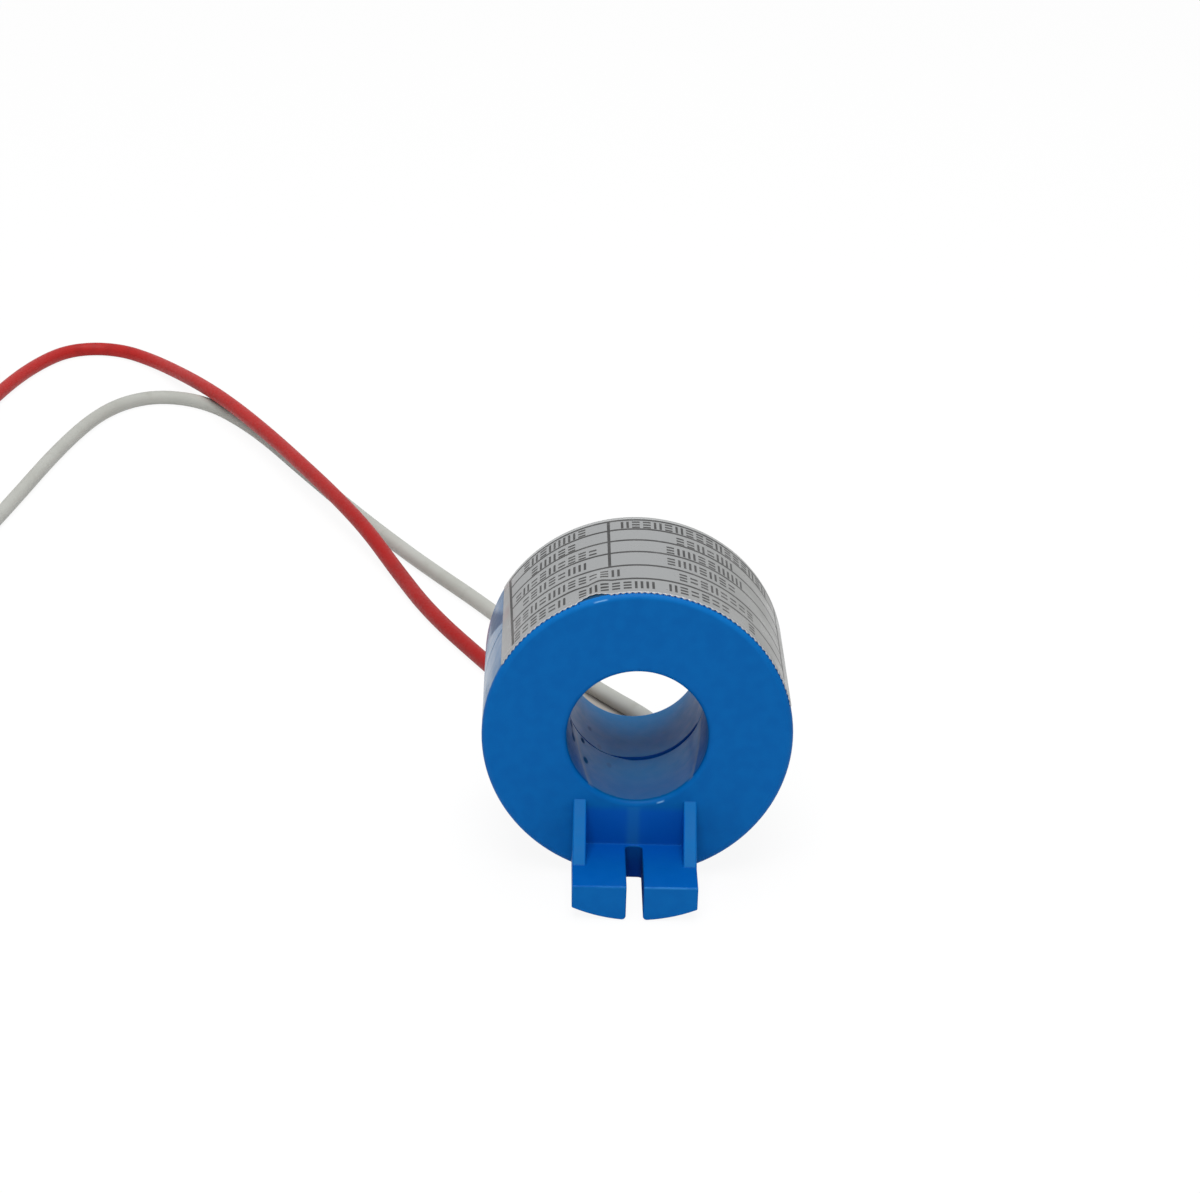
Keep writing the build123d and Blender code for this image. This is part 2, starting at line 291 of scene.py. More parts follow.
# %% Make a material of such expressions
class Finish:
    """A material, and one way to add any node to it."""

    def __init__(self, name, roughness=0.5, **settings):
        self.material = bpy.data.materials.new(name)
        self.material.use_nodes = True
        self.tree = self.material.node_tree
        self.shader = self.tree.nodes["Principled BSDF"]
        self.set(Roughness=roughness, **settings)
        self.place = self.node("TexCoord", output="Object")

    def node(self, kind, settings=(), inputs=(), output=0):
        made = self.tree.nodes.new("ShaderNode" + kind)
        for name, value in dict(settings).items():
            setattr(made, name, value)
        for name, value in dict(inputs).items():
            self.feed(made.inputs[name], value)
        return Signal(self, made.outputs[output])

    def feed(self, socket, value):
        if isinstance(value, Signal):
            self.tree.links.new(value.socket, socket)
        else:
            socket.default_value = value

    def set(self, **inputs):
        for name, value in inputs.items():
            self.feed(self.shader.inputs[name.replace("_", " ")], value)

    def noise(self, scale, detail=2.0, place=None):
        inputs = {"Vector": place or self.place, "Scale": scale, "Detail": detail}
        return self.node("TexNoise", inputs=inputs)

    def stretched(self, x, y, z):
        return self.node("VectorMath", {"operation": "MULTIPLY"}, {0: self.place, 1: (x, y, z)})

    def blend(self, amount, first, second):
        inputs = {"Factor": amount, 6: first, 7: second}
        return self.node("Mix", {"data_type": "RGBA"}, inputs, 2)

    def ramp(self, value, low, high, start=0.0, end=1.0):
        inputs = {0: value, 1: low, 2: high, 3: start, 4: end}
        return self.node("MapRange", {"interpolation_type": "SMOOTHSTEP"}, inputs)

    def near(self, distance, reach, soft):
        """1 where a distance is under a reach, fading to 0 over a soft edge."""
        return self.ramp(abs(distance), reach - soft / 2, reach + soft / 2, 1, 0)

    def axes(self, place=None):
        apart = self.node("SeparateXYZ", inputs={0: place or self.place})
        outputs = apart.socket.node.outputs
        return [Signal(self, outputs[i]) for i in range(3)]

    def around_the_bore(self):
        """Millimetres from the bore's axis, degrees from straight up, and the place in mm."""
        x, y, z = [axis / MM for axis in self.axes()]
        turn = self.node("Math", {"operation": "ARCTAN2"}, {0: x, 1: z}) * degrees(1)
        return (x * x + z * z).of("SQRT"), turn, x, y, z

    def bump(self, height, distance, strength=1.0):
        inputs = {"Height": height, "Distance": distance, "Strength": strength}
        self.set(Normal=self.node("Bump", inputs=inputs))

    def layered(self, base, layers):
        """A base colour with shades laid over it in turn, each with its share and its colour."""
        for share, colour in layers:
            base = self.blend(share, base, srgb(*colour))
        return base

    def tell(self, step):
        print(step, "done,", self.material.name, "has", len(self.tree.nodes), "nodes")


print("a finish can", [name for name in vars(Finish) if not name.startswith("_")])

# %% Give the floor its white and a patch of painted shade
SEEN_WHITE, SHADE_DEPTH = 0.92, 0.9
SHADE_EDGE, SHADE_MIDDLE = Vector((3.1, 47.4)), Vector((-6, 54))
ACROSS_EDGE = Vector((10.3, 7.8)).normalized()

table = Finish("table_top", roughness=0.9)
grain = table.noise(6, 4)
x, y, _ = [axis / MM for axis in table.axes()]
# A soft-edged patch of painted shade on the floor behind the ring, beside the white lead's first
# bend.
past_edge = (x - SHADE_EDGE.x) * ACROSS_EDGE.x + (y - SHADE_EDGE.y) * ACROSS_EDGE.y
shade = table.ramp(past_edge, -0.5, 0.5, 1, 0)
shade = shade * table.near(x - SHADE_MIDDLE.x, 14, 10) * table.near(y - SHADE_MIDDLE.y, 16, 8)
pale = table.blend(grain, srgb(240, 240, 240), srgb(244, 244, 244))
table.set(Base_Color=table.blend(shade, pale, srgb(158, 153, 145)))
ray = table.node("LightPath").socket.node.outputs
direct = Signal(table, ray["Is Camera Ray"]) + Signal(table, ray["Is Glossy Ray"])
lit = Signal(table, table.shader.outputs[0])
glow = table.node("Emission", inputs={"Strength": 1.0})
seen = direct * (SEEN_WHITE - shade * SHADE_DEPTH)
mixed = table.node("MixShader", inputs={0: seen, 1: lit, 2: glow})
table.feed(table.tree.nodes["Material Output"].inputs["Surface"], mixed)
floor.data.materials.append(table.material)
table.tell("floor")

# %% Give the world a softer light than its look
SOFT_LIGHT = 0.31

world = bpy.data.worlds.new("studio")
bpy.context.scene.world = world
world.use_nodes = True
air = world.node_tree
path = air.nodes.new("ShaderNodeLightPath")
strength = air.nodes.new("ShaderNodeMapRange")
strength.inputs["To Min"].default_value = 1.0
strength.inputs["To Max"].default_value = SOFT_LIGHT
air.links.new(path.outputs["Is Diffuse Ray"], strength.inputs["Value"])
air.links.new(strength.outputs[0], air.nodes["Background"].inputs["Strength"])
air.nodes["Background"].inputs["Color"].default_value = (1, 1, 1, 1)
print("the world lights with", SOFT_LIGHT, "of its white")

# %% Hang the lamps
def area_lamp(name, place, size, watts):
    light = bpy.data.lights.new(name, "AREA")
    light.size, light.energy = size, watts
    lamp = bpy.data.objects.new(name, light)
    bpy.context.scene.collection.objects.link(lamp)
    lamp.location = place
    lamp.rotation_mode = "QUATERNION"
    lamp.rotation_quaternion = Vector(place).to_track_quat("Z", "Y")


area_lamp("softbox", (-0.10, -0.62, 1.08), 0.7, 10.6)
area_lamp("overhead", (0.02, 0.20, 1.2), 0.8, 9)

bpy.context.scene.view_settings.view_transform = "Standard"
print("lamps", [light.name for light in bpy.data.lights])

# %% [markdown]
# ## The label's film
#
# A silver-grey film is stuck round the top of the case. It was torn off a roll
# against a toothed blade, so its front edge is a row of small teeth that lie
# down over the case's rounded edge. It has a few wrinkles where it didn't lie
# down, and in one place its lip has lifted off the case.
#
# A straight line of points spun round the bore's axis makes the sheet. Before
# it is bent out of true, each point's place along and across the film goes
# into a UV map, in tenths of a metre, so the print stays on the film.

# %% Spin the sheet
CASE_LENGTH = 37.0
FACE_EDGE_ROUND = 1.2
FRONT = -CASE_LENGTH / 2
LABEL_LEFT, LABEL_RIGHT = -61.5, 76.5
LABEL_FRONT, LABEL_REAR = 0.55, CASE_LENGTH - 0.9
FILM_GAP = 0.05
FILM_THICKNESS = 0.1
FILM_RADIUS = CASE_RADIUS + FILM_GAP
FINE_ROWS = (0, 0.5, 0.7, 1.0, 1.4)
EVEN_FROM, EVEN_STEPS = 2.4, 34
TEETH = 62
STEPS_PER_TOOTH = 6
UV_SCALE = 0.01

bm = bmesh.new()
rows = [LABEL_FRONT + step for step in FINE_ROWS]
rows += [EVEN_FROM + i * (LABEL_REAR - EVEN_FROM) / EVEN_STEPS for i in range(EVEN_STEPS + 1)]
line = [bm.verts.new((0, (FRONT + t) * MM, FILM_RADIUS * MM)) for t in rows]
edges = [bm.edges.new(pair) for pair in zip(line, line[1:])]
start = Matrix.Rotation(radians(LABEL_LEFT), 3, "Y")
bmesh.ops.rotate(bm, verts=line, cent=(0, 0, 0), matrix=start)
bmesh.ops.spin(
    bm, geom=line + edges, cent=(0, 0, 0), axis=(0, 1, 0),
    angle=radians(LABEL_RIGHT - LABEL_LEFT), steps=TEETH * STEPS_PER_TOOTH,
)
bmesh.ops.recalc_face_normals(bm, faces=bm.faces)
if bm.faces[0].normal.dot(bm.faces[0].calc_center_median()) < 0:
    bmesh.ops.reverse_faces(bm, faces=bm.faces)


def along_and_across(point):
    """Where a point of the film is, in mm: along it from its left end, and back from the face."""
    angle = degrees(atan2(point.x, point.z)) - LABEL_LEFT
    return radians(angle) * FILM_RADIUS, point.y / MM - FRONT


flat = bm.loops.layers.uv.new("film")
for face in bm.faces:
    for loop in face.loops:
        s, t = along_and_across(loop.vert.co)
        loop[flat].uv = (s * UV_SCALE, t * UV_SCALE)
FILM_LENGTH = radians(LABEL_RIGHT - LABEL_LEFT) * FILM_RADIUS
film_size = round(FILM_LENGTH, 1), round(LABEL_REAR - LABEL_FRONT, 1)
print("film", *film_size, "mm, faces", len(bm.faces))

# %% Cut its teeth and lift its wrinkles
TOOTH_DEPTH = 0.3
WRINKLES = (
    # along, across, half length, half width, height, all in mm
    (21.0, 1.0, 3.2, 3.0, 0.12),
    (22.2, 7.0, 2.4, 6.0, 0.38),
    (17.0, 9.0, 3.0, 5.0, 0.10),
    (44.0, 1.0, 7.0, 2.4, 0.05),
    (52.0, 4.0, 3.0, 6.0, 0.06),
)
LIFT_AT, LIFT_REACH, LIFT_BACK = 20.9, 3.6, 1.2


def hill(distance, reach):
    return max(0.0, 1 - (distance / reach) ** 2) ** 2


def case_surface(t):
    """How far from the axis the outside of the case is, with its two rounded edges."""
    into_round = max(0.0, FACE_EDGE_ROUND - min(t, CASE_LENGTH - t))
    return CASE_RADIUS - FACE_EDGE_ROUND + sqrt(FACE_EDGE_ROUND**2 - into_round**2)


for vert in bm.verts:
    s, t = along_and_across(vert.co)
    rise = sum(
        height * hill(s - along, length) * hill(t - across, width)
        for along, across, length, width, height in WRINKLES
    )
    if t < LABEL_FRONT + 0.1:
        tooth = abs((s / FILM_LENGTH * TEETH) % 1 - 0.5) * 2
        t += tooth * TOOTH_DEPTH
    t += hill(t - LABEL_FRONT, 2.4) * LIFT_BACK * hill(s - LIFT_AT, LIFT_REACH)
    outwards = Vector((vert.co.x, 0, vert.co.z)).normalized()
    vert.co = outwards * (case_surface(t) + FILM_GAP + rise) * MM
    vert.co.y = (FRONT + t) * MM

label = new_piece("label_film", bm)
for face in label.data.polygons:
    face.use_smooth = True
wall = label.modifiers.new("thickness", "SOLIDIFY")
wall.thickness = FILM_THICKNESS * MM
wall.offset = 1
print("label", TEETH, "teeth,", len(WRINKLES), "wrinkles and a lifted lip")

# %% [markdown]
# ## The label's print
#
# The print is a ruled table with rows of marks. The rules and the marks are
# worked out from the film's own place, s along it and t across it in
# millimetres, so they bend with its wrinkles. The table's rules are strokes:
# bands around a value of s or t.
#
# The rows are cut into cells 2 mm wide. A white-noise number for each cell
# picks one of three plain marks, so the rows look printed but say nothing.
#
# Under the ink the silver isn't even. It is paler behind the table. Painted shade
# darkens it toward the film's right end, a painted reflection of the red lead
# makes one place on the left margin faintly pink, and a painted highlight
# lightens its front edge.

# %% Rule the table
RULE_WIDTH, DIVIDER_WIDTH = 0.72, 0.55
RULES = (6.7, 12.9, 19.2, 24.8, 30.1, 34.6)
TABLE_FRONT, TABLE_REAR = 2.2, RULES[-1]
TABLE_LEFT, TABLE_RIGHT, TABLE_SKEW = 3.9, 61.8, 0.05
DIVIDER = 24.0
INK_SOFT = 0.1

film = Finish("silver_film", roughness=0.3, Specular_IOR_Level=0.35)
film_place = film.node("UVMap", {"uv_map": "film"})
s, t, _ = [axis / UV_SCALE for axis in film.axes(film_place)]


def inside(value, low, high):
    return (value > low) & (value < high)


def stroke(distance, width):
    return film.near(distance, width / 2, INK_SOFT)


left_of_table = s - (TABLE_LEFT - TABLE_SKEW * t)
ink = stroke(left_of_table, RULE_WIDTH) & inside(t, TABLE_FRONT, TABLE_REAR)
ink = ink | (stroke(s - TABLE_RIGHT, RULE_WIDTH) & inside(t, TABLE_FRONT, TABLE_REAR))
ink = ink | (stroke(s - DIVIDER, DIVIDER_WIDTH) & inside(t, RULES[1], TABLE_REAR))
in_table = (left_of_table > 0) & (s < TABLE_RIGHT)
for rule in RULES:
    ink = ink | (stroke(t - rule, RULE_WIDTH) & in_table)
film.tell("rules")

# %% Fill its rows with plain marks
MARK_PITCH, MARK_WIDTH, MARK_HEIGHT = 2.0, 1.4, 3.2
UPRIGHT, BAR = 0.46, 0.7
ROWS = (
    # middle of the row, then where each block of marks starts and ends
    (32.2, (5.6, 19.3), (26.3, 57.7)),
    (26.8, (7.9, 17.8), (36.2, 48.7)),
    (21.4, (4.1, 22.4), (34.4, 49.3)),
    (16.0, (5.4, 20.5), (34.6, 47.2)),
    (9.7, (3.8, 26.3), (36.1, 51.4)),
    (3.8, (3.9, 16.4), (18.9, 31.0), (33.1, 46.7), (49.1, 52.3)),
)

printed, height, row_number = 0.0, 0.0, 0.0
for number, (middle, *blocks) in enumerate(ROWS, 1):
    in_row = inside(t, middle - MARK_HEIGHT / 2 - 0.2, middle + MARK_HEIGHT / 2 + 0.2)
    cells = [[round(end / MARK_PITCH) * MARK_PITCH for end in block] for block in blocks]
    filled = inside(s, *cells[0])
    for block in cells[1:]:
        filled = filled | inside(s, *block)
    printed = (in_row & filled) + printed
    height = in_row * (t - middle) + height
    row_number = in_row * number + row_number

column = (s / MARK_PITCH).of("FLOOR")
cell = s - column * MARK_PITCH - MARK_PITCH / 2
seed = film.node("CombineXYZ", inputs={0: column, 1: row_number})
pick = film.node("TexWhiteNoise", inputs={"Vector": seed})
wide = stroke(cell, MARK_WIDTH)
uprights = stroke(abs(cell) - 0.5, UPRIGHT) & stroke(height, MARK_HEIGHT)
ends = stroke(abs(height) - (MARK_HEIGHT - BAR) / 2, BAR)
three_bars = (ends | stroke(height, BAR)) & wide
two_bars = stroke(abs(height) - MARK_HEIGHT / 4, BAR) & wide
mark = uprights & (pick < 0.4)
mark = mark | (three_bars & inside(pick, 0.4, 0.75))
mark = mark | (two_bars & (pick > 0.75))
ink = ink | (mark & printed)
film.tell("rows")

# %% Finish the film
RED_REFLECTION_AT = 20.9

cloud = film.noise(160, 3)
speckle = film.noise(2600, 2)
# A painted reflection of the red lead, faintly pink on the left margin.
red_reflection = film.near(t - RED_REFLECTION_AT, 2.5, 4.5) & film.ramp(left_of_table, -0.9, -0.3, 1, 0)
# A painted highlight along the film's toothed front edge.
front_rim_highlight = film.ramp(t, LABEL_FRONT + 0.1, LABEL_FRONT + 0.6, 1, 0)
silver = film.blend(cloud, srgb(125, 127, 128), srgb(133, 135, 136))
silver = film.layered(silver, (
    # how much of the shade is at each point, and the shade
    (film.ramp(speckle, 0.3, 0.7) * 0.25, (125, 127, 128)),
    (film.ramp(t, TABLE_REAR + 0.3, TABLE_REAR + 0.7) * 0.5, (180, 182, 182)),
    # painted shade: the silver darker toward the film's right end, away from the light
    (film.ramp(s, 32, 56) * 0.65, (107, 108, 104)),
    # the painted reflection of the red lead
    (red_reflection * 0.5, (122, 96, 97)),
    # the painted highlight along the front edge
    (front_rim_highlight * 0.6, (190, 193, 200)),
))
worn_ink = ink * film.ramp(film.noise(700, 3), 0.25, 0.5, 0.88, 1.0)
film.set(Base_Color=film.blend(worn_ink, silver, srgb(12, 12, 12)))
film.set(Roughness=film.ramp(cloud, 0.3, 0.7, 0.24, 0.36) + ink * 0.12)
film.bump(film.noise(90, 2), 0.00012, 0.5)
label.data.materials.append(film.material)
film.tell("film")

# %% [markdown]
# ## The moulded blue case
#
# Both halves are moulded in a bright blue plastic with a satin skin and a faint
# mottle. Light and shade are painted into that colour too. The face has a painted
# highlight along its upper rim, a painted highlight spot on the bore's lower rim,
# a glint, and a pale strip of painted reflection below the bore. The foot has
# painted highlights along its edges, painted shade in its slot, painted shade of
# a deeper blue in its corners and on its top, and painted light on its gussets'
# slopes. The bore has dark marks and the seam, is painted lighter deep inside,
# and is painted darker at its sides where the mirrored table ends, with a pale
# strip of painted reflection just inside that edge. Painted shade lies on the
# case under the label's lip and teeth, and a painted dark reflection on the left
# flank. A clear film over the outside and in the bore mirrors the room at a low
# angle.
#
# A painted picture could hold all this, but it would need an unwrapped case and
# would blur close up. So one finish covers both halves, and masks made from the
# distance to the bore's axis, the turn round it and the place along it say
# where each of these is. The clear film is the shader's coat, which has a
# weight for each point.

# %% Say where the case's regions are
SEAM_DEPTH = 17.5
FOOT_DEPTH, FOOT_WIDTH, FOOT_TOP = 16.5, 22.0, -20.9
GUSSET_WIDTH = 2.4
SLOT_WIDTH = 3.0

blue = Finish("moulded_blue", roughness=0.4, Specular_IOR_Level=0.05, Coat_Roughness=0.1)
radius, turn, x, y, z = blue.around_the_bore()
in_bore = blue.ramp(radius, BORE_RADIUS + 0.04, BORE_RADIUS + 0.2, 1, 0)
behind_face = blue.ramp(y, FRONT + 0.7, FRONT + 1.3)
on_skin = blue.ramp(radius, CASE_RADIUS - 0.5, CASE_RADIUS - 0.1) & behind_face
on_face = y < FRONT + 1
blue.tell("regions")

# %% Mark the bore
BORE_MARKS = (
    # degrees from straight up, mm back from the face, size, darkness
    (-140.3, 24.1, 0.55, 0.55), (-131.7, 16.1, 0.60, 0.95), (-135.0, 9.0, 0.70, 1.0),
    (-113.0, 15.8, 0.75, 0.8), (-117.6, 11.9, 0.80, 0.8), (-115.5, 13.8, 0.60, 0.6),
    (-159.0, 13.0, 0.55, 0.4), (-150.2, 18.9, 0.50, 0.4),
)
MARK_STRETCH = 1.9
MM_PER_DEGREE = radians(BORE_RADIUS)


def spot(angle, place, size):
    across = (turn - angle) * MM_PER_DEGREE
    along = (y - (FRONT + place)) / MARK_STRETCH
    return blue.ramp((across * across + along * along).of("SQRT"), size * 0.5, size * 1.3, 1, 0)


marks = 0.0
for angle, place, size, darkness in BORE_MARKS:
    marks = spot(angle, place, size) * darkness + marks
marks = marks & in_bore
blue.tell("bore marks")

# %% Draw the seam in the bore
seam = FRONT + SEAM_DEPTH
round_turn = (turn + 360) % 360
seam_width = blue.ramp(round_turn, 178, 199, 0.65, 0.05)
seam_width = seam_width * blue.ramp(round_turn, 112, 150, 0.8, 1)
seam_line = blue.ramp(abs(y - seam - 0.2) - seam_width, 0, 0.3, 1, 0) & in_bore
seam_line = seam_line * blue.ramp(abs(round_turn - 206), 4, 12, 0.25, 1)
seam_line = seam_line * blue.ramp(round_turn, 109, 119)
blue.tell("seam")

# %% Paint shade on the bore's sides beyond the mirrored table, and a reflection strip inside
depth = y - FRONT


def limit(start, slope, bend):
    """Where the mirrored table ends at each depth, in degrees from straight up."""
    return start + depth * slope + depth * depth * bend


left_limit = limit(-138.5, 1.55, -0.022)
right_limit = limit(127.3, -2.0, 0.047)
on_left = turn < 0
past_limit = on_left * (turn - left_limit) + (1 - on_left) * (right_limit - turn)
front_bore = in_bore & (depth < SEAM_DEPTH - 0.2)
# Painted shade on the bore's sides beyond the mirrored table, and a pale strip of painted
# reflection just inside its edge.
bore_side_shade = blue.ramp(past_limit, -0.4, 0.8) * blue.ramp(past_limit, 8, 40, 1, 0) & front_bore
reflection_edge_strips = blue.ramp(past_limit, -0.8, 0, 1, 0) * blue.ramp(past_limit, -8, -1.5) & front_bore
blue.tell("bore sides")

# %% Paint shade into the slot and highlights along the foot's edges
foot_front = FRONT - FOOT_DEPTH
gusset_inside = FOOT_WIDTH / 2 - GUSSET_WIDTH
# Painted shade in the slot, darker toward its bottom.
in_slot = (abs(x) < SLOT_WIDTH / 2 + 0.06) & (y < FRONT - 0.3) & (z < FOOT_TOP - 0.25)
slot_shade = in_slot * blue.ramp(z, FOOT_TOP - 5, FOOT_TOP - 0.3, 0.82, 0.55)
# Painted highlights along the foot's front top edge and where it meets the face, broken up by
# noise.
highlight_breaks = blue.ramp(blue.noise(260, 2), 0.38, 0.58)
front_edge_highlight = blue.near(y - foot_front, 0.3, 0.3) & blue.near(z - FOOT_TOP, 0.3, 0.3)
front_edge_highlight = front_edge_highlight * highlight_breaks * blue.ramp(x, -4, 3, 0.35, 0.8)
root_highlight = blue.near(y - FRONT + 0.15, 0.2, 0.2) & blue.near(z - FOOT_TOP, 0.3, 0.2)
edge_highlights = front_edge_highlight | (root_highlight * 0.25 & (abs(x) < gusset_inside))
blue.tell("slot and edges")

# %% Paint shade into the foot's corners and light onto its gussets
NOOK_TOP = -13.0
gusset_middle = FOOT_WIDTH / 2 - 1.25
above_side = z > FOOT_TOP - 0.15
on_foot_top = (z < FOOT_TOP + 0.1) & (y < FRONT - 0.1)
# Painted shade, a deeper blue, in the corners between the gussets and on the foot's top.
nook_shade = blue.near(x, gusset_inside + 0.3, 0.2) | on_foot_top
nook_shade = nook_shade & blue.ramp(z, NOOK_TOP - 1.8, NOOK_TOP, 1, 0) & (y < FRONT + 0.3)
nook_shade = (nook_shade & above_side) * blue.ramp(y, FRONT - 10, FRONT - 1, 0.3, 0.9)
# Painted light on the gussets' slopes, which face the lamps above.
lit_gusset_slope = blue.near(abs(x) - gusset_middle, 1.0, 0.2) & (y < FRONT - 0.1)
lit_gusset_slope = lit_gusset_slope & (z > FOOT_TOP + 0.15)
blue.tell("corners and gussets")

# %% Paint highlights, a glint and a reflection strip on the face
SPOT_HIGHLIGHT_X, SPOT_HIGHLIGHT_RADIUS = 4.5, 13.25
GLINT_TURN, GLINT_RADIUS = -15.6, 26.88
REFLECTION_X, REFLECTION_TOP = -0.2, -13.6

# A painted highlight spot on the bore's lower front rim, and a painted glint on the face's upper
# edge.
spot_highlight = blue.near(x - SPOT_HIGHLIGHT_X, 0.45, 0.8) & blue.near(radius - SPOT_HIGHLIGHT_RADIUS, 0.1, 0.25)
spot_highlight = spot_highlight & on_face & (z < 0)
glint = blue.near(turn - GLINT_TURN, 1.9, 2.6) & blue.near(radius - GLINT_RADIUS, 0.06, 0.25)
glint = glint & on_face
# A painted highlight along the face's rounded upper rim.
face_rim_highlight = blue.ramp(radius, CASE_RADIUS - FACE_EDGE_ROUND, CASE_RADIUS - 0.6)
face_rim_highlight = face_rim_highlight & on_face & blue.ramp(z, 8, 24)
# A pale strip of painted reflection on the face between the gussets, below the bore.
reflection_strip = blue.near(x - REFLECTION_X, 1.1, 1.2) & inside(y, FRONT - 0.05, FRONT + 0.2)
reflection_strip = reflection_strip & inside(z, FOOT_TOP, REFLECTION_TOP)
blue.tell("face")

# %% Paint shade on the case under the label's lifted lip and its teeth
LIP_TURN = -17.7
TEETH_PER_DEGREE = TEETH / (LABEL_RIGHT - LABEL_LEFT)

on_edge = radius > CASE_RADIUS - 1
# Painted shade on the case's rounded edge under the lifted lip and in the notches between the
# teeth.
lip_shade = blue.near(turn - LIP_TURN, 4.9, 1.2) & blue.ramp(depth, 0.9, 1.1) & (depth < 4)
notch = abs(((turn - LABEL_LEFT) * TEETH_PER_DEGREE).of("FRACT") - 0.5) * 2
tooth_shade = blue.ramp(notch, 0.55, 0.95) & blue.ramp(depth, 0.42, 0.6) & (depth < 3)
tooth_shade = tooth_shade & inside(turn, LABEL_LEFT, LABEL_RIGHT) & (abs(turn - LIP_TURN - 0.2) > 5.5)
tooth_shade = tooth_shade * blue.ramp(abs(turn), 20, 50, 0.7, 0.35)
shade_under_film = (lip_shade | tooth_shade) & on_edge
blue.tell("lip and teeth")

# %% Paint a dark reflection on the left flank
DARK_REFLECTION_TOP, DARK_REFLECTION_MIDDLE = -63.6, -68
# A painted dark reflection on the clear film over the left flank.
below = DARK_REFLECTION_TOP - turn
dark_reflection = blue.ramp(depth - below * 0.5, 20.4, 21.2)
dark_reflection = dark_reflection & blue.ramp(depth - below * 1.05, 24.5, 28.5, 1, 0)
dark_reflection = dark_reflection * blue.near(turn - DARK_REFLECTION_MIDDLE, 7, 4)
dark_reflection = dark_reflection * inside(turn, -100, LABEL_LEFT - 0.5)
blue.tell("dark patch")

# %% Colour the blue plastic
mottle = blue.noise(420, 4)
cloudy = blue.noise(45, 2)
# Painted light: the bore a lighter blue farther in.
deep_bore_light = in_bore * blue.ramp(y, FRONT + 4, FRONT + 16, 0, 0.75)
plastic = blue.blend(blue.ramp(mottle, 0.3, 0.7), srgb(0, 88, 158), srgb(2, 93, 163))
# Of these shades, the face rim, foot edges, spot and glint are painted highlights, the gusset
# slopes and the deep bore are painted light, the strip below the bore and the bore's pale strips
# are painted reflections, the left flank's patch is a painted dark reflection, and the corners,
# foot top, slot, bore sides and the case under the film are painted shade.
plastic = blue.layered(plastic, (
    # how much of the shade is at each point, and the shade
    (cloudy * 0.25, (0, 84, 156)),
    (face_rim_highlight * 0.2, (30, 128, 205)),
    (nook_shade, (0, 80, 171)),
    # painted shade on the foot's top
    ((on_foot_top & above_side) * 0.35, (0, 70, 148)),
    (lit_gusset_slope * 0.35, (6, 112, 176)),
    (reflection_strip * 0.35, (30, 110, 165)),
    (edge_highlights * 0.3, (70, 155, 215)),
    ((spot_highlight | glint) * 0.6, (150, 200, 235)),
    (slot_shade, (0, 31, 116)),
    (in_bore * 0.7, (0, 81, 134)),
    (deep_bore_light, (0, 128, 190)),
    (bore_side_shade * 0.45, (0, 62, 138)),
    (reflection_edge_strips * 0.32, (112, 114, 124)),
    (seam_line, (0, 80, 160)),
    (marks, (0, 76, 122)),
    (shade_under_film, (0, 14, 84)),
    (on_skin * 0.5, (36, 88, 102)),
    ((on_skin & dark_reflection) * 0.6, (12, 20, 66)),
))
blue.set(Base_Color=plastic)
blue.tell("blue")

# %% Lay the clear film over it
MAIN_BREAK, FAINT_BREAK = 16.8, 14.3

streaks = blue.noise(210, 3, blue.stretched(1, 0.35, 1))
creases = blue.ramp(streaks, 0.38, 0.62, 0.55, 1.0)
breaks = blue.near(depth - FAINT_BREAK, 0.2, 0.4) * 0.7
breaks = blue.near(depth - MAIN_BREAK, 0.25, 0.5) | breaks
skin_gloss = on_skin * creases * (1 - (dark_reflection | (breaks * 0.8)) * 0.8) * (1 - shade_under_film)
bore_gloss = in_bore * (1 - (seam_line | marks))
dull = seam_line | marks | in_slot
blue.set(Coat_Weight=(skin_gloss * 0.55) | (bore_gloss * 0.11))
blue.set(Roughness=blue.ramp(mottle, 0.3, 0.7, 0.36, 0.46) | (dull * 0.95))
blue.bump(blue.noise(1500, 3), 0.00002, 0.35)
blue.tell("clear film")

# %% [markdown]
# ## The leads' insulation and tinned strands
#
# The insulation is soft PVC, pressed out round the strands: satin, slightly
# uneven and a little dusty, and the red one is brighter farther from the case.
# One colour would look like paint, so a slow noise changes the shade along the
# lead, and a fine one its gloss. The strands' tin is a bright but dull-polished
# metal.

# %% Finish the insulation
FAR_FROM, FAR_TO = 0.10, 0.24


def pvc(name, light, dark, dust, far, far_share):
    made = Finish(name, roughness=0.5, Specular_IOR_Level=0.14)
    slow, fine = made.noise(70, 3), made.noise(1400, 3)
    _, y, _ = made.axes()
    smudge = made.ramp(made.noise(240, 4), 0.56, 0.74) * 0.35
    base = made.blend(made.ramp(slow, 0.3, 0.7), srgb(*light), srgb(*dark))
    distant = made.ramp(y, FAR_FROM, FAR_TO) * far_share
    made.set(Base_Color=made.layered(base, ((distant, far), (smudge, dust))))
    made.set(Roughness=made.ramp(fine, 0.3, 0.7, 0.38, 0.54))
    made.bump(made.noise(500, 2), 0.00006, 0.4)
    made.tell("insulation")
    return made


red_pvc = pvc("red_pvc", (149, 20, 18), (139, 17, 17), (130, 28, 27), (169, 38, 36), 0.8)
white_pvc = pvc(
    "white_pvc", (172, 173, 168), (164, 165, 159), (150, 149, 141), (166, 167, 161), 0.3
)

# %% Finish the tin and the solder
def metal(name, light, dark, roughness, scale, dent):
    made = Finish(name, roughness=roughness, Metallic=0.9)
    patches = made.noise(scale, 3)
    made.set(Base_Color=made.blend(patches, light, dark))
    made.set(Roughness=made.ramp(patches, 0.3, 0.7, roughness - 0.08, roughness + 0.1))
    made.bump(made.noise(scale * 3, 2), dent, 0.5)
    made.tell("metal")
    return made


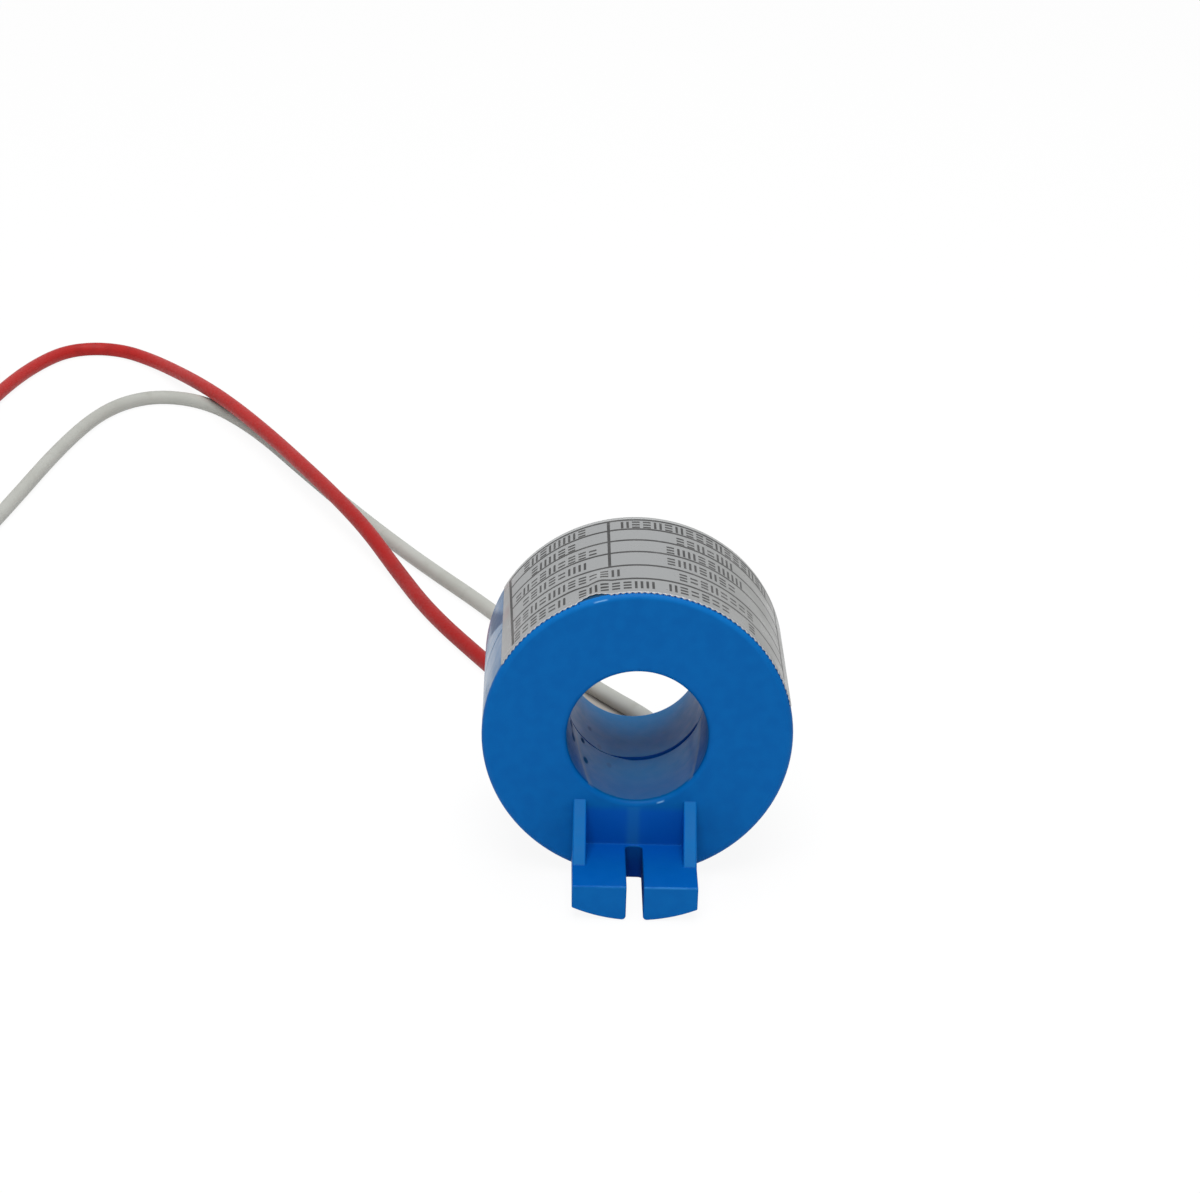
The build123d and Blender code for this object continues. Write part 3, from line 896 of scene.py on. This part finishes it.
tin = metal("tinned_copper", srgb(214, 212, 206), srgb(186, 182, 174), 0.34, 900, 0.00002)
solder = metal("solder", srgb(196, 196, 196), srgb(158, 158, 160), 0.42, 1200, 0.00008)

# %% [markdown]
# ## The coil inside
#
# None of this shows while the case is closed, but a section or an open case
# does show it: a core of thin steel strip wound up like tape, in a nylon case,
# with thirty turns of varnished copper wire, a yellow polyester tape round the
# whole and black sleeves over the joints. Each finish follows the way that its
# piece is made, as rings on the core's ends and overlaps in the tape.

# %% Finish the core and its case
steel = Finish("wound_steel", roughness=0.38, Metallic=0.9)
radius, *_ = steel.around_the_bore()
strip = {"W": radius, "Scale": 5.0, "Detail": 4.0}
layers = steel.node("TexNoise", {"noise_dimensions": "1D"}, strip)
rolled = steel.noise(900, 3, steel.stretched(1, 0.05, 1))
steel_shade = steel.blend(steel.ramp(layers, 0.35, 0.65), srgb(128, 131, 136), srgb(178, 181, 186))
steel.set(Base_Color=steel.blend(rolled * 0.3, steel_shade, srgb(110, 112, 118)))
steel.set(Roughness=steel.ramp(layers, 0.3, 0.7, 0.3, 0.48))
steel.bump(layers, 0.00004, 0.6)
steel.tell("core")

nylon = Finish("natural_nylon", roughness=0.5)
nylon_cloud = nylon.noise(150, 3)
nylon.set(Base_Color=nylon.blend(nylon_cloud, srgb(226, 220, 200), srgb(214, 207, 184)))
nylon.set(Roughness=nylon.ramp(nylon_cloud, 0.3, 0.7, 0.44, 0.58))
nylon.bump(nylon.noise(1800, 2), 0.00002, 0.4)
nylon.tell("core case")

# %% Finish the wire, the tape and the black sleeves
varnished = Finish(
    "varnished_copper", roughness=0.3, Metallic=0.85, Coat_Weight=0.8, Coat_Roughness=0.12
)
drawn = varnished.noise(300, 3)
varnished.set(Base_Color=varnished.blend(drawn, srgb(168, 84, 46), srgb(140, 64, 34)))
varnished.set(Roughness=varnished.ramp(drawn, 0.3, 0.7, 0.24, 0.38))
varnished.bump(varnished.noise(1600, 2), 0.00001, 0.4)
varnished.tell("wire")

TAPE_STEP, TAPE_SLANT = 12.0, 0.8
tape = Finish("polyester_tape", roughness=0.25, Specular_IOR_Level=0.5)
radius, turn, *_ = tape.around_the_bore()
overlap = ((turn + radius * TAPE_SLANT + 360) / TAPE_STEP).of("FRACT")
lap_edge = tape.near(overlap - 0.5, 0.46, 0.04)
tape_shade = tape.blend(overlap, srgb(222, 190, 84), srgb(204, 168, 62))
tape.set(Base_Color=tape.blend(1 - lap_edge, tape_shade, srgb(160, 122, 38)))
tape.set(Roughness=tape.ramp(tape.noise(200, 2), 0.3, 0.7, 0.2, 0.32))
tape.bump(overlap, 0.00005, 0.6)
tape.tell("tape")

shrunk = Finish("shrunk_sleeve", roughness=0.55, Specular_IOR_Level=0.4)
drawn = shrunk.noise(1200, 3, shrunk.stretched(1, 0.15, 1))
shrunk.set(Base_Color=shrunk.blend(drawn, srgb(30, 30, 32), srgb(46, 46, 48)))
shrunk.set(Roughness=shrunk.ramp(drawn, 0.3, 0.7, 0.48, 0.64))
shrunk.bump(drawn, 0.00004, 0.5)
shrunk.tell("sleeves")

# %% Give every CAD piece its finish
CAD_FINISHES = {
    "front_shell": blue, "rear_shell": blue, "label": film,
    "core": steel, "core_case_front": nylon, "core_case_rear": nylon,
    "secondary_winding": varnished, "winding_wrap": tape,
    "red_joint": solder, "white_joint": solder,
    "red_splice_sleeve": shrunk, "white_splice_sleeve": shrunk,
    "red_lead_root": tin, "white_lead_root": tin, "red_lead_tip": tin, "white_lead_tip": tin,
    "red_lead": red_pvc, "white_lead": white_pvc,
}
for name, finish in CAD_FINISHES.items():
    nodes[name].data.materials.clear()
    nodes[name].data.materials.append(finish.material)
for colour, finish in (("red", red_pvc), ("white", white_pvc)):
    sleeves[colour].data.materials.append(finish.material)
    bundles[colour].data.materials.append(tin.material)
print("without a finish", sorted(set(nodes) - set(CAD_FINISHES)))

# %% Put the pieces on the frame
for colour, piece in sleeves.items():
    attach(piece, "root")
    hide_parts(colour + "_lead")
    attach(bundles[colour], "root")
    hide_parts(colour + "_lead_tip")
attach(label, "root")
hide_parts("label")
print("on the frame", [piece.name for piece in (*sleeves.values(), *bundles.values(), label)])
